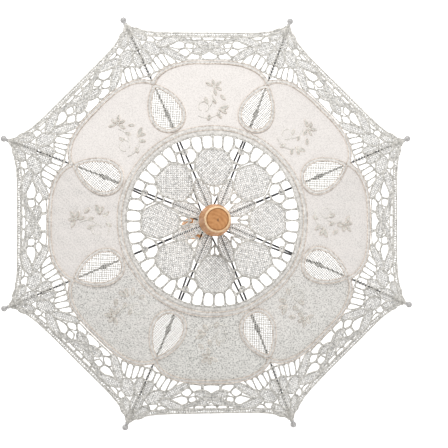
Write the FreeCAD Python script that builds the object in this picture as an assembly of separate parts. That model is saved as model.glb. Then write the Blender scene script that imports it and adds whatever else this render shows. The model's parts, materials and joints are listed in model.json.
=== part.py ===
"""Lace parasol with eight wire ribs on a wooden shaft, open and upright.

Millimetres, +Z up along the shaft, origin at the centre of the handle's foot.
Ribs, stretchers and canopy panels are built once, in the radial plane of a rib
that points along +X, and then turned to the eight rib directions.
"""
import FreeCAD
import Part
import math
import os
from FreeCAD import Vector

# Driving dimensions
RIB_COUNT = 8
FIRST_RIB_DEG = 22.5
TIP_RADIUS = 200.0  # shaft axis to the middle of a rib's end bead
TIP_DROP = 74.0  # height of the rib pivots above the end beads
RIB_TURN_DEG = 22.0  # how much an open rib bends from pivot to tip
PIVOT_RADIUS = 9.0  # ring of rib pivots in the crown
PIVOT_Z = 336.0

SHAFT_R = 6.0
SHAFT_BOTTOM_Z = 36.0
SHAFT_TOP_Z = 364.0

HANDLE_LENGTH = 82.0
GRIP_R = 12.4
GRIP_LENGTH = 50.0
KNOB_R = 12.2
NECK_R = 10.5
NECK_BOTTOM_Z = GRIP_LENGTH + 2.5
NECK_TOP_Z = GRIP_LENGTH + 5.5
KNOB_BOTTOM_Z = GRIP_LENGTH + 9.5
CAP_HEIGHT = 30.0
CAP_BASE_R = 13.8
CAP_TOP_R = 11.0

WIRE_R = 0.6  # pivot wires and rivets
PIVOT_CLEARANCE = 0.08
SEAT_CLEARANCE = 0.02  # glued and crimped seats
RIB_R = 0.85
STRETCHER_R = 0.85
BLADE_THICKNESS = 1.2  # flattened ends of ribs and stretchers

JOINT_REACH = 97.0  # rib pivot to the stretcher clip, straight line
JOINT_DROP = 3.0  # clip rivet below the rib's centre line
STRETCHER_LENGTH = 120.0
RUNNER_WIRE_RADIUS = 10.0

CLOTH_THICKNESS = 0.8
CLOTH_RISE = 2.3  # cloth above the rib's centre line, upwards
CENTRE_RADIUS = 11.8  # where the cloth starts, under the cap
RING_RADIUS = 77.0  # seam between the lace centre and the cotton band
BAND_RADIUS_AT_RIB = 133.0
BAND_RADIUS_AT_MIDDLE = 140.0
HEM_RADIUS_AT_RIB = 194.0
HEM_RADIUS_AT_MIDDLE = 169.3
SEAM_GAP = 0.4
CUTTER_Z = PIVOT_Z - 150.0  # plan cutters start below the canopy and pass through it
CUTTER_HEIGHT = 200.0

# Worked-out places in a rib's radial plane, as (radius, height)
HALF_SECTOR = math.radians(180.0 / RIB_COUNT)
RIB_SPAN = TIP_RADIUS - PIVOT_RADIUS
RIB_CHORD = math.hypot(RIB_SPAN, TIP_DROP)
CHORD_SLOPE = math.atan2(TIP_DROP, RIB_SPAN)
RIB_TURN = math.radians(RIB_TURN_DEG)
ROOT_SLOPE = CHORD_SLOPE - RIB_TURN / 2
TIP_SLOPE = CHORD_SLOPE + RIB_TURN / 2
RIB_BEND_R = RIB_CHORD / (2 * math.sin(RIB_TURN / 2))
BEND_X = PIVOT_RADIUS - RIB_BEND_R * math.sin(ROOT_SLOPE)
BEND_Z = PIVOT_Z - RIB_BEND_R * math.cos(ROOT_SLOPE)
JOINT_SLOPE = ROOT_SLOPE + 2 * math.asin(JOINT_REACH / (2 * RIB_BEND_R))
JOINT_X = BEND_X + (RIB_BEND_R - JOINT_DROP) * math.sin(JOINT_SLOPE)
JOINT_Z = BEND_Z + (RIB_BEND_R - JOINT_DROP) * math.cos(JOINT_SLOPE)
RUNNER_WIRE_Z = JOINT_Z - math.sqrt(STRETCHER_LENGTH**2 - (JOINT_X - RUNNER_WIRE_RADIUS) ** 2)

# Crown, washer and cap stack up from the rib pivots
CROWN_R = 11.2
CROWN_BOTTOM_Z = PIVOT_Z - 4.5
CROWN_TOP_Z = PIVOT_Z + 3.2
CROWN_SLOT_WIDTH = 1.8
CROWN_SLOT_FLOOR_R = 7.1
CROWN_SLOT_TOP_Z = PIVOT_Z + 2.0
WASHER_Z = CROWN_TOP_Z + 0.1
CAP_Z = CROWN_TOP_Z + 1.0
RIB_EYE_R = 1.6
RIB_BLADE_LENGTH = 9.0

# Runner
RUNNER_BORE_R = 6.15
RUNNER_SLEEVE_R = 7.7
RUNNER_COLLAR_R = 12.0
RUNNER_COLLAR_HALF = 3.0
RUNNER_ABOVE = 4.0
RUNNER_BELOW = 24.0
RUNNER_FLANGE_R = 9.2
RUNNER_FLANGE_HEIGHT = 3.0
RUNNER_SLOT_WIDTH = 2.0
RUNNER_SLOT_FLOOR_R = 7.95
RUNNER_BOTTOM_Z = RUNNER_WIRE_Z - RUNNER_BELOW

# Catch that holds the runner up, in a slot of the shaft that faces +X
CATCH_WIDTH = 1.8
CATCH_STRIP = 0.6
CATCH_NOSE_R = 8.6
CATCH_TOP_Z = RUNNER_BOTTOM_Z - 0.9
CATCH_PIVOT_X = 2.4
CATCH_PIVOT_Z = CATCH_TOP_Z - 26.0
CATCH_SLOT_WIDTH = 2.2
CATCH_SLOT_BACK_X = -2.2

# Clip that joins a stretcher to its rib
CLIP_LENGTH = 6.0
CLIP_WIDTH = 3.2
CLIP_TOP = RIB_R + 0.5
CLIP_SLOT_WIDTH = 1.5
CLIP_MARGIN = 0.2  # round the stretcher's eye
RIVET_HEAD_R = 1.1
RIVET_HEAD_THICKNESS = 0.5
STRETCHER_EYE_R = 1.4
STRETCHER_BLADE_LENGTH = 8.0
HOOK_R = 1.7
HOOK_OPENING_DEG = 150.0

# End beads
BEAD_R = 2.9
TIP_SLEEVE_R = 1.5
TIP_SLEEVE_LENGTH = 9.0
TIP_LIP_R = TIP_SLEEVE_R + 0.4
TIP_LIP_WIDTH = 1.0
TIP_LIP_FROM_END = 3.0
RIB_SHORT_OF_BEAD = 1.5  # the rib ends just inside the bead

# Stop pin above the runner
STOP_PIN_R = 0.8
STOP_PIN_Z = RUNNER_WIRE_Z + RUNNER_ABOVE + 1.2

# Headless pin that fixes the crown to the shaft
CROWN_PIN_R = 0.5
CROWN_PIN_Z = CROWN_BOTTOM_Z + 1.6
CROWN_PIN_DEPTH = 3.0
CROWN_PIN_SUNK = 0.6


def rib_point(slope, offset=0.0):
    """A point on the rib's centre line where it slopes down by slope, moved off it by offset."""
    reach = RIB_BEND_R + offset
    return Vector(BEND_X + reach * math.sin(slope), 0, BEND_Z + reach * math.cos(slope))


def rib_height(radius):
    """Height of the rib's centre line over a given distance from the shaft axis."""
    return BEND_Z + math.sqrt(RIB_BEND_R**2 - (radius - BEND_X) ** 2)


def cylinder(radius, base, axis, length):
    return Part.makeCylinder(radius, length, base, axis)


def ring(inner, outer, low, high):
    """A tube round the shaft axis."""
    height = high - low
    solid = Part.makeCylinder(outer, height, Vector(0, 0, low))
    return solid.cut(Part.makeCylinder(inner, height, Vector(0, 0, low)))


def torus(ring_radius, wire_radius, height):
    return Part.makeTorus(ring_radius, wire_radius, Vector(0, 0, height))


def slab(low, high):
    """A box from one corner to the other."""
    size = high - low
    return Part.makeBox(size.x, size.y, size.z, low)


def plate(start, end, half_height, thickness):
    """A flat bar with round ends between two points of the XZ plane, centred on that plane."""
    along = (end - start).normalize()
    up = Vector(-along.z, 0, along.x) * half_height
    corners = [start + up, end + up, end - up, start - up, start + up]
    face = Part.Face(Part.makePolygon(corners))
    face.translate(Vector(0, -thickness / 2, 0))
    bar = face.extrude(Vector(0, thickness, 0))
    for point in (start, end):
        base = point - Vector(0, thickness / 2, 0)
        bar = bar.fuse(cylinder(half_height, base, Vector(0, 1, 0), thickness))
    return bar.removeSplitter()


def cross_hole(point, radius, length):
    """A cylinder across the radial plane, centred on it."""
    return cylinder(radius, point - Vector(0, length / 2, 0), Vector(0, 1, 0), length)


def turned(shape, index):
    """A copy of a shape built at the +X direction, turned to rib number index."""
    copy = shape.copy()
    angle = FIRST_RIB_DEG + index * 360.0 / RIB_COUNT
    copy.rotate(Vector(0, 0, 0), Vector(0, 0, 1), angle)
    return copy


def radial_slots(width, floor_radius, outer_radius, low, high):
    """Cutters for one slot at each rib direction, open outwards."""
    cutter = slab(Vector(floor_radius, -width / 2, low), Vector(outer_radius + 1, width / 2, high))
    return [turned(cutter, index) for index in range(RIB_COUNT)]


def lathe(outline):
    """A solid turned from an outline of edges in the XZ plane."""
    return Part.Face(Part.Wire(outline)).revolve(Vector(0, 0, 0), Vector(0, 0, 1), 360)


def lines(points):
    return [Part.makeLine(a, b) for a, b in zip(points, points[1:])]


def bowed(start, end, bow):
    """An arc of the outline that stands off its chord by bow, on the outer side going up."""
    ahead = (end - start).normalize()
    middle = (start + end) / 2 + Vector(ahead.z, 0, -ahead.x) * bow
    return Part.Arc(start, middle, end).toShape()


def quarter(start, end):
    """A quarter circle that rounds an edge."""
    return bowed(start, end, (end - start).Length * (math.sqrt(2) - 1) / 2)


# ---------------------------------------------------------------- shaft group
def make_shaft():
    """Dowel with the catch's slot and its cross holes."""
    shaft = Part.makeCylinder(SHAFT_R, SHAFT_TOP_Z - SHAFT_BOTTOM_Z, Vector(0, 0, SHAFT_BOTTOM_Z))
    half = CATCH_SLOT_WIDTH / 2
    slot_low = Vector(CATCH_SLOT_BACK_X, -half, CATCH_PIVOT_Z - 3)
    slot = slab(slot_low, Vector(SHAFT_R + 1, half, CATCH_TOP_Z + 1))
    reach = 2 * SHAFT_R + 2
    pivot = Vector(CATCH_PIVOT_X, 0, CATCH_PIVOT_Z)
    holes = [
        cross_hole(pivot, WIRE_R + SEAT_CLEARANCE, reach),
        cross_hole(Vector(0, 0, STOP_PIN_Z), STOP_PIN_R + SEAT_CLEARANCE, reach),
    ]
    return shaft.cut([slot, crown_pin(SEAT_CLEARANCE)] + holes)


def make_handle():
    """Turned grip: a straight lower grip, a cut neck, and a knob with a scribed line."""
    top = HANDLE_LENGTH
    edge = 1.6
    bore_r = SHAFT_R + SEAT_CLEARANCE
    scribe_z = top - 10.0
    scribe = 0.5
    foot = [Vector(0, 0, SHAFT_BOTTOM_Z), Vector(0, 0, 0), Vector(GRIP_R - edge, 0, 0)]
    grip = [Vector(GRIP_R, 0, edge), Vector(GRIP_R, 0, GRIP_LENGTH)]
    neck = [Vector(NECK_R, 0, NECK_BOTTOM_Z), Vector(NECK_R, 0, NECK_TOP_Z)]
    knob = [
        Vector(KNOB_R, 0, KNOB_BOTTOM_Z),
        Vector(KNOB_R, 0, scribe_z - scribe),
        Vector(KNOB_R - scribe, 0, scribe_z),
        Vector(KNOB_R, 0, scribe_z + scribe),
        Vector(KNOB_R, 0, top - edge),
    ]
    bore = [
        Vector(KNOB_R - edge, 0, top),
        Vector(bore_r, 0, top),
        Vector(bore_r, 0, SHAFT_BOTTOM_Z),
        foot[0],
    ]
    shoulder_bow, knob_bow = 0.65, 0.45
    return lathe(
        lines(foot)
        + [quarter(foot[-1], grip[0])]
        + lines(grip)
        + [bowed(grip[-1], neck[0], shoulder_bow)]
        + lines(neck)
        + [bowed(neck[-1], knob[0], knob_bow)]
        + lines(knob)
        + [quarter(knob[-1], bore[0])]
        + lines(bore)
    )


def make_top_cap():
    """Tapered wooden ferrule with a rounded top edge and a scribed circle."""
    top = CAP_Z + CAP_HEIGHT
    edge = 1.5
    foot = 0.8
    bore_r = SHAFT_R + SEAT_CLEARANCE
    scribe_r = CAP_TOP_R - edge - 0.2
    scribe = 0.45
    side = [
        Vector(0, 0, SHAFT_TOP_Z),
        Vector(bore_r, 0, SHAFT_TOP_Z),
        Vector(bore_r, 0, CAP_Z),
        Vector(CAP_BASE_R - foot, 0, CAP_Z),
        Vector(CAP_BASE_R, 0, CAP_Z + foot),
        Vector(CAP_TOP_R, 0, top - edge),
    ]
    end = [
        Vector(CAP_TOP_R - edge, 0, top),
        Vector(scribe_r, 0, top),
        Vector(scribe_r - scribe, 0, top - scribe),
        Vector(scribe_r - 2 * scribe, 0, top),
        Vector(0, 0, top),
        side[0],
    ]
    return lathe(lines(side) + [quarter(side[-1], end[0])] + lines(end))


def make_crown():
    """Notched plastic ring that carries the rib pivots."""
    body = ring(SHAFT_R + SEAT_CLEARANCE, CROWN_R, CROWN_BOTTOM_Z, CROWN_TOP_Z)
    slots = radial_slots(
        CROWN_SLOT_WIDTH, CROWN_SLOT_FLOOR_R, CROWN_R, CROWN_BOTTOM_Z - 1, CROWN_SLOT_TOP_Z
    )
    groove = torus(PIVOT_RADIUS, WIRE_R + SEAT_CLEARANCE, PIVOT_Z)
    return body.cut(slots + [groove, crown_pin(SEAT_CLEARANCE)])


def make_crown_washer():
    """Cloth disc between the crown and the cap."""
    return ring(SHAFT_R + 0.3, CROWN_R + 0.6, WASHER_Z, WASHER_Z + CLOTH_THICKNESS)


def crown_pin(grow=0.0):
    """The crown's pin, which points along +X; grown, it is the hole that the pin sits in."""
    inner = CROWN_PIN_DEPTH - grow
    length = CROWN_R - CROWN_PIN_SUNK + grow - inner
    return cylinder(CROWN_PIN_R + grow, Vector(inner, 0, CROWN_PIN_Z), Vector(1, 0, 0), length)


def make_stop_pin():
    """Cross pin that keeps the runner from rising further."""
    return cross_hole(Vector(0, 0, STOP_PIN_Z), STOP_PIN_R, 2 * SHAFT_R + 3.2)


def make_catch_pin():
    return cross_hole(Vector(CATCH_PIVOT_X, 0, CATCH_PIVOT_Z), WIRE_R, 2 * SHAFT_R - 2.0)


def make_open_catch():
    """Bent spring strip: an eye on its pin, a sloping back and a flat top under the runner."""
    pivot = Vector(CATCH_PIVOT_X, 0, CATCH_PIVOT_Z)
    half = CATCH_STRIP / 2
    nose = Vector(CATCH_NOSE_R - half, 0, CATCH_TOP_Z - half)
    tail = Vector(CATCH_PIVOT_X, 0, CATCH_TOP_Z - half)
    elbow = Vector(CATCH_NOSE_R - half, 0, CATCH_TOP_Z - 4.0)
    root = pivot + Vector(WIRE_R + 2 * half, 0, 0)
    strip = plate(root, elbow, half, CATCH_WIDTH)
    strip = strip.fuse([plate(elbow, nose, half, CATCH_WIDTH), plate(nose, tail, half, CATCH_WIDTH)])
    strip = strip.fuse(cross_hole(pivot, WIRE_R + 3 * half, CATCH_WIDTH))
    return strip.cut(cross_hole(pivot, WIRE_R + PIVOT_CLEARANCE, CATCH_WIDTH + 1)).removeSplitter()


def make_runner():
    """Plastic sleeve with a notched collar for the stretchers and a finger flange."""
    low, high = RUNNER_BOTTOM_Z, RUNNER_WIRE_Z + RUNNER_ABOVE
    body = ring(RUNNER_BORE_R, RUNNER_SLEEVE_R, low, high)
    collar_low = RUNNER_WIRE_Z - RUNNER_COLLAR_HALF
    collar_high = RUNNER_WIRE_Z + RUNNER_COLLAR_HALF
    collar = ring(RUNNER_BORE_R, RUNNER_COLLAR_R, collar_low, collar_high)
    flange = ring(RUNNER_BORE_R, RUNNER_FLANGE_R, low, low + RUNNER_FLANGE_HEIGHT)
    body = body.fuse([collar, flange]).removeSplitter()
    slots = radial_slots(
        RUNNER_SLOT_WIDTH, RUNNER_SLOT_FLOOR_R, RUNNER_COLLAR_R, collar_low - 1, collar_high + 1
    )
    groove = torus(RUNNER_WIRE_RADIUS, WIRE_R + SEAT_CLEARANCE, RUNNER_WIRE_Z)
    return body.cut(slots + [groove])


# ------------------------------------------------------------------ one rib
def make_rib():
    """Bent steel wire with a flattened, drilled root."""
    pivot = Vector(PIVOT_RADIUS, 0, PIVOT_Z)
    blade_turn = RIB_BLADE_LENGTH / RIB_BEND_R
    blade_end = rib_point(ROOT_SLOPE + blade_turn)
    start_slope = ROOT_SLOPE + blade_turn * 0.8
    end_slope = TIP_SLOPE - RIB_SHORT_OF_BEAD / RIB_BEND_R
    start = rib_point(start_slope)
    tangent = Vector(math.cos(start_slope), 0, -math.sin(start_slope))
    section = Part.Face(Part.Wire(Part.makeCircle(RIB_R, start, tangent)))
    turn = math.degrees(end_slope - start_slope)
    rod = section.revolve(Vector(BEND_X, 0, BEND_Z), Vector(0, 1, 0), turn)
    blade = plate(pivot, blade_end, RIB_EYE_R, BLADE_THICKNESS)
    rib = rod.fuse(blade)
    return rib.cut(cross_hole(pivot, WIRE_R + PIVOT_CLEARANCE, 2 * BLADE_THICKNESS)).removeSplitter()


def make_rib_tip():
    """Moulded end cap: a bead on a sleeve that is pushed over the rib's end."""
    centre = rib_point(TIP_SLOPE)
    along = Vector(math.cos(TIP_SLOPE), 0, -math.sin(TIP_SLOPE))
    sleeve = cylinder(TIP_SLEEVE_R, centre - along * TIP_SLEEVE_LENGTH, along, TIP_SLEEVE_LENGTH)
    lip_start = centre - along * (TIP_SLEEVE_LENGTH - TIP_LIP_FROM_END)
    lip = cylinder(TIP_LIP_R, lip_start, along, TIP_LIP_WIDTH)
    tip = Part.makeSphere(BEAD_R, centre).fuse([sleeve, lip])
    bore_r = RIB_R + 3 * SEAT_CLEARANCE
    bore = cylinder(bore_r, centre - along * (TIP_SLEEVE_LENGTH + 1), along, TIP_SLEEVE_LENGTH)
    return tip.cut(bore).removeSplitter()


def make_rib_joint():
    """Crimped clip on the rib and the rivet that carries the stretcher."""
    joint = Vector(JOINT_X, 0, JOINT_Z)
    half_length, half_width = CLIP_LENGTH / 2, CLIP_WIDTH / 2
    low = -(JOINT_DROP + STRETCHER_EYE_R + CLIP_MARGIN)
    roof = -(JOINT_DROP - STRETCHER_EYE_R - CLIP_MARGIN)
    body = slab(Vector(-half_length, -half_width, low), Vector(half_length, half_width, CLIP_TOP))
    half_slot = CLIP_SLOT_WIDTH / 2
    slot = slab(Vector(-CLIP_LENGTH, -half_slot, low - 1), Vector(CLIP_LENGTH, half_slot, roof))
    bore_start = Vector(-CLIP_LENGTH, 0, 0)
    rib_bore = cylinder(RIB_R + 3 * SEAT_CLEARANCE, bore_start, Vector(1, 0, 0), 2 * CLIP_LENGTH)
    body = body.cut([slot, rib_bore])
    body.rotate(Vector(0, 0, 0), Vector(0, 1, 0), math.degrees(JOINT_SLOPE))
    body.translate(rib_point(JOINT_SLOPE))
    body = body.cut(cross_hole(joint, WIRE_R + SEAT_CLEARANCE, 2 * CLIP_WIDTH))
    rivet = cross_hole(joint, WIRE_R, CLIP_WIDTH + 2 * RIVET_HEAD_THICKNESS)
    for side in (-1, 1):
        face = joint + Vector(0, side * (half_width + SEAT_CLEARANCE), 0)
        rivet = rivet.fuse(cylinder(RIVET_HEAD_R, face, Vector(0, side, 0), RIVET_HEAD_THICKNESS))
    return Part.makeCompound([body, rivet.removeSplitter()])


def hook_opening():
    """Cutter for the hook's mouth: from straight down, past the far side, to the opening angle."""
    reach = 4 * HOOK_R
    mouth = [Vector(0, 0, 0)]
    for degrees in (-90.0, -30.0, 30.0, 90.0, HOOK_OPENING_DEG):
        angle = math.radians(degrees)
        mouth.append(Vector(reach * math.cos(angle), 0, reach * math.sin(angle)))
    wedge = Part.Face(Part.makePolygon(mouth + mouth[:1]))
    wedge.translate(Vector(0, -BLADE_THICKNESS, 0))
    return wedge.extrude(Vector(0, 2 * BLADE_THICKNESS, 0))


def make_stretcher():
    """Steel wire with an eye at the rib and an open hook that hangs on the runner's wire.

    It is built along +X from the hook at the origin, and then laid between its two pivots.
    """
    hook_inner = WIRE_R + PIVOT_CLEARANCE
    half_strip = (HOOK_R - hook_inner) / 2
    lane = -(hook_inner + half_strip)
    blade = STRETCHER_BLADE_LENGTH
    eye = Vector(STRETCHER_LENGTH, 0, 0)
    shank = plate(Vector(0, 0, lane), Vector(blade, 0, lane), half_strip, BLADE_THICKNESS)
    hook = cross_hole(Vector(0, 0, 0), HOOK_R, BLADE_THICKNESS)
    hook = hook.cut([cross_hole(Vector(0, 0, 0), hook_inner, 2 * BLADE_THICKNESS), hook_opening()])
    overlap = 0.75 * blade  # the rod runs into both flattened ends
    rod_start = Vector(overlap, 0, lane)
    rod_axis = eye - Vector(overlap, 0, 0) - rod_start
    rod = cylinder(STRETCHER_R, rod_start, rod_axis, rod_axis.Length)
    far_blade = plate(eye - Vector(blade, 0, 0), eye, STRETCHER_EYE_R, BLADE_THICKNESS)
    stretcher = rod.fuse([shank, hook, far_blade])
    stretcher = stretcher.cut(cross_hole(eye, WIRE_R + PIVOT_CLEARANCE, 2 * BLADE_THICKNESS))
    stretcher = stretcher.removeSplitter()
    rise = math.degrees(math.atan2(JOINT_Z - RUNNER_WIRE_Z, JOINT_X - RUNNER_WIRE_RADIUS))
    stretcher.rotate(Vector(0, 0, 0), Vector(0, 1, 0), -rise)
    stretcher.translate(Vector(RUNNER_WIRE_RADIUS, 0, RUNNER_WIRE_Z))
    return stretcher


# ------------------------------------------------------------------- canopy
def gore_cloth():
    """Cloth over one gore whose middle is at +X: it curves outwards and is straight across."""
    steps = 10
    low, high = [], []
    for step in range(steps + 1):
        radius = PIVOT_RADIUS + RIB_SPAN * step / steps
        along = radius * math.cos(HALF_SECTOR)
        height = rib_height(radius) + CLOTH_RISE
        low.append(Vector(along, 0, height))
        high.append(Vector(along, 0, height + CLOTH_THICKNESS))
    under, over = Part.BSplineCurve(), Part.BSplineCurve()
    under.interpolate(low)
    over.interpolate(high)
    ends = [Part.makeLine(low[-1], high[-1]), Part.makeLine(high[0], low[0])]
    edges = [under.toShape(), over.toShape()] + ends
    half_width = TIP_RADIUS * math.tan(HALF_SECTOR)
    profile = Part.Face(Part.Wire(Part.__sortEdges__(edges)))
    profile.translate(Vector(0, -half_width, 0))
    return profile.extrude(Vector(0, 2 * half_width, 0))


def edge_circle(radius_at_rib, radius_at_middle):
    """(centre x, radius) of the plan circle through a gore's edge at both ribs and at its middle."""
    x = radius_at_rib * math.cos(HALF_SECTOR)
    y = radius_at_rib * math.sin(HALF_SECTOR)
    centre = (x * x + y * y - radius_at_middle**2) / (2 * (x - radius_at_middle))
    return centre, abs(radius_at_middle - centre)


def plan_disc(centre_x, radius):
    """Upright cutter, taller than the canopy."""
    return Part.makeCylinder(radius, CUTTER_HEIGHT, Vector(centre_x, 0, CUTTER_Z))


def half_gore_wedge():
    """Plan wedge from the rib plane to just short of the gore's middle plane."""
    reach = 1.1 * TIP_RADIUS
    gap = SEAM_GAP / 2
    spread = math.tan(HALF_SECTOR)
    outline = [
        Vector(gap / spread, -gap, CUTTER_Z),
        Vector(reach, -reach * spread, CUTTER_Z),
        Vector(reach, -gap, CUTTER_Z),
    ]
    face = Part.Face(Part.makePolygon(outline + outline[:1]))
    return face.extrude(Vector(0, 0, CUTTER_HEIGHT))


def rib_panel(half):
    """Turns a half gore to the rib at +X, adds its mirror image, and joins the two."""
    half.rotate(Vector(0, 0, 0), Vector(0, 0, 1), math.degrees(HALF_SECTOR))
    mirrored = half.mirror(Vector(0, 0, 0), Vector(0, 1, 0))
    joined = half.fuse(mirrored).removeSplitter()
    if len(joined.Solids) == 1 and joined.isValid():
        return joined
    return Part.makeCompound([half, mirrored])


def make_canopy_panels():
    """The three zones of cloth that one rib carries: lace centre, cotton band and lace border."""
    cloth = gore_cloth().common(half_gore_wedge())
    band_x, band_r = edge_circle(BAND_RADIUS_AT_RIB, BAND_RADIUS_AT_MIDDLE)
    hem_x, hem_r = edge_circle(HEM_RADIUS_AT_RIB, HEM_RADIUS_AT_MIDDLE)
    centre = cloth.common(plan_disc(0, RING_RADIUS)).cut(plan_disc(0, CENTRE_RADIUS))
    band = cloth.common(plan_disc(band_x, band_r)).cut(plan_disc(0, RING_RADIUS + SEAM_GAP))
    border = cloth.cut([plan_disc(band_x, band_r + SEAM_GAP), plan_disc(hem_x, hem_r)])
    border = max(border.Solids, key=lambda solid: solid.Volume)
    return {
        "lace_centre": rib_panel(centre),
        "cotton_band": rib_panel(band),
        "lace_border": rib_panel(border),
    }


def main():
    os.makedirs("parts", exist_ok=True)
    singles = {
        "shaft": make_shaft(),
        "handle": make_handle(),
        "top_cap": make_top_cap(),
        "crown": make_crown(),
        "crown_wire": torus(PIVOT_RADIUS, WIRE_R, PIVOT_Z),
        "crown_washer": make_crown_washer(),
        "crown_pin": crown_pin(),
        "stop_pin": make_stop_pin(),
        "catch_pin": make_catch_pin(),
        "open_catch": make_open_catch(),
        "runner": make_runner(),
        "runner_wire": torus(RUNNER_WIRE_RADIUS, WIRE_R, RUNNER_WIRE_Z),
    }
    panels = make_canopy_panels()
    lace = Part.makeCompound([panels["lace_centre"], panels["lace_border"]])
    per_rib = {
        "rib": make_rib(),
        "rib_tip": make_rib_tip(),
        "rib_joint": make_rib_joint(),
        "stretcher": make_stretcher(),
        "lace_panel": lace,
        "cotton_band": panels["cotton_band"],
    }
    for name, shape in singles.items():
        shape.exportStep(f"parts/{name}.step")
    for name, shape in per_rib.items():
        for index in range(RIB_COUNT):
            turned(shape, index).exportStep(f"parts/{name}_{index + 1}.step")


if __name__ == "__main__":
    main()
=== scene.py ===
"""Looks of the lace parasol: threads, tapes, cotton, embroidery, wood and metal on the CAD frame.

The canopy is drawn once, as a flat pattern of half a gore, in millimetres: "along" runs from the
shaft to the hem on the gore's middle line, "across" runs towards the rib, and "height" stands
off the cloth. Each half gore is bent onto the ribs' surface and rides on its own rib.
"""
import json
import math
import random

import bpy
import numpy as np
from mathutils import Matrix, Vector


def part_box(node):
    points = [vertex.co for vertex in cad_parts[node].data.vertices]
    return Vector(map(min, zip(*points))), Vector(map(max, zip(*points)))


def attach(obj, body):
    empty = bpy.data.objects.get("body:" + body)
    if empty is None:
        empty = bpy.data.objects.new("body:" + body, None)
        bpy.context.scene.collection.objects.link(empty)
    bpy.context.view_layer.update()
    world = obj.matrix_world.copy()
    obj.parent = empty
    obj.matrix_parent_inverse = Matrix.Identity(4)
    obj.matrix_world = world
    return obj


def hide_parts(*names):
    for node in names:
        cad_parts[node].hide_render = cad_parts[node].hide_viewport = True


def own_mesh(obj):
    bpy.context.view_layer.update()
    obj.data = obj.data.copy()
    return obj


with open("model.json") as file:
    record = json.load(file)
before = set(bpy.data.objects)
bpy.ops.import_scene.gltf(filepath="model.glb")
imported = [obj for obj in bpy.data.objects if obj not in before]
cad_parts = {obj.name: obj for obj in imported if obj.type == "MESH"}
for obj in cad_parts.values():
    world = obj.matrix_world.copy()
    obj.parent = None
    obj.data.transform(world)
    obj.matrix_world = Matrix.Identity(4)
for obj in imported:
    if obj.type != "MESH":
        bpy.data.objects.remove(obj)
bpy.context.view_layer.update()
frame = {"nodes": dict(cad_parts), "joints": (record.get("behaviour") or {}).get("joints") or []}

MM = 0.001

# ---------------------------------------------------------------- the ribs' surface
RIBS = 8
HALF = math.pi / RIBS
BEAD_R = 2.9
RIB_TURN = math.radians(22)
CLOTH_RISE = 2.6
JOINTS = {joint["name"]: joint for joint in frame["joints"]}

PIVOT = Vector(JOINTS["rib_1_pivot"]["pos_m"]) / MM
PIVOT_R = PIVOT.to_2d().length
TIP_LOW, TIP_HIGH = (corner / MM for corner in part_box("rib_tip_1"))
TIP_R = (TIP_HIGH.x - BEAD_R) / math.cos(HALF)
TIP_Z = TIP_LOW.z + BEAD_R
CHORD = math.hypot(TIP_R - PIVOT_R, PIVOT.z - TIP_Z)
CHORD_SLOPE = math.atan2(PIVOT.z - TIP_Z, TIP_R - PIVOT_R)
BEND_R = CHORD / (2 * math.sin(RIB_TURN / 2))
BEND_X = PIVOT_R - BEND_R * math.sin(CHORD_SLOPE - RIB_TURN / 2)
BEND_Z = PIVOT.z - BEND_R * math.cos(CHORD_SLOPE - RIB_TURN / 2)


def rib_azimuth(number):
    """Direction of rib 1, 2, ... 8 round the shaft."""
    return HALF + (number - 1) * 2 * HALF


def bend(points):
    """Lays flat (along, across, height) points on the cloth of a gore whose middle is at +X."""
    along, across, height = np.asarray(points, float).T
    radius = along / math.cos(HALF)
    fall = np.sqrt(BEND_R**2 - (radius - BEND_X) ** 2)
    slope = (radius - BEND_X) / fall / math.cos(HALF)
    length = np.sqrt(1 + slope**2)
    x = along + height * slope / length
    z = BEND_Z + fall + CLOTH_RISE + height / length
    return np.stack([x, across, z], -1)


def turn(points, azimuth):
    """Turns points about the shaft."""
    cosine, sine = math.cos(azimuth), math.sin(azimuth)
    x, y, z = points.T
    return np.stack([x * cosine - y * sine, x * sine + y * cosine, z], -1)


def from_rib(out, beside):
    """A place given along the rib and beside it, as (along, across) of the gore."""
    cosine, sine = math.cos(HALF), math.sin(HALF)
    return (out * cosine + beside * sine, out * sine - beside * cosine)


# ---------------------------------------------------------------- pattern outlines
RING_IN, RING_OUT = 74.6, 83.2
EYE_START, EYE_END, EYE_HALF = 84.0, 131.5, 16.0  # net eye on each rib, outside its tape
TAPE = 3.7
EDGE_AT_RIB = 131.5 * math.cos(HALF)
EDGE_HALF = 131.5 * math.sin(HALF)
EDGE_BULGE = 20.8
HEM_MIDDLE, HEM_RISE, HEM_HALF = 171.5, 8.7, 74.6
HEM_WIDTH = 3.9

# Cords and weaves of the pattern, in millimetres across
PETAL_PITCH, PETAL_THREAD, PETAL_CORD = 1.65, 1.12, 1.5
HUB_LEAF_PITCH, HUB_LEAF_THREAD = 1.6, 1.0
NET_PITCH, NET_THREAD = 1.6, 0.7
CELL_CORD, CELL_ROUND_CORD, CELL_INSET = 1.1, 1.05, 0.6
TAPE_CORD, TAPE_CORD_INSET, TAPE_CORE, TAPE_RUNG = 0.85, 0.42, 0.18, 0.72
HEM_CORD, HEM_INNER_CORD, HEM_RUNG, HEM_RUNG_GAP = 1.75, 1.6, 1.3, 2.2
SATIN_PITCH, SATIN_THREAD, SATIN_OUTLINE, STEM_CORD, KNOT_CORD = 0.66, 0.60, 0.5, 0.6, 0.9
STITCH_R, STITCH_HALF_WIDTH, STITCH_CENTRE, STITCH_HALF_HEIGHT = 0.33, 1.9, 0.9, 2.6
STITCH_STEPS = 12  # points in a turn of the sewing thread
SHEET_STEPS = 30  # points along each edge of a cotton sheet
SHEET_TOP, SHEET_BOTTOM = 0.1, -0.25
CELL_PHASE = 1.7  # makes the cells of neighbouring gores differ
UV_PER_MM = 0.01


def circle_path(radius, steps=40):
    angles = np.linspace(0, HALF * 1.02, steps)
    return np.stack([radius * np.cos(angles), radius * np.sin(angles)], -1)


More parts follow.
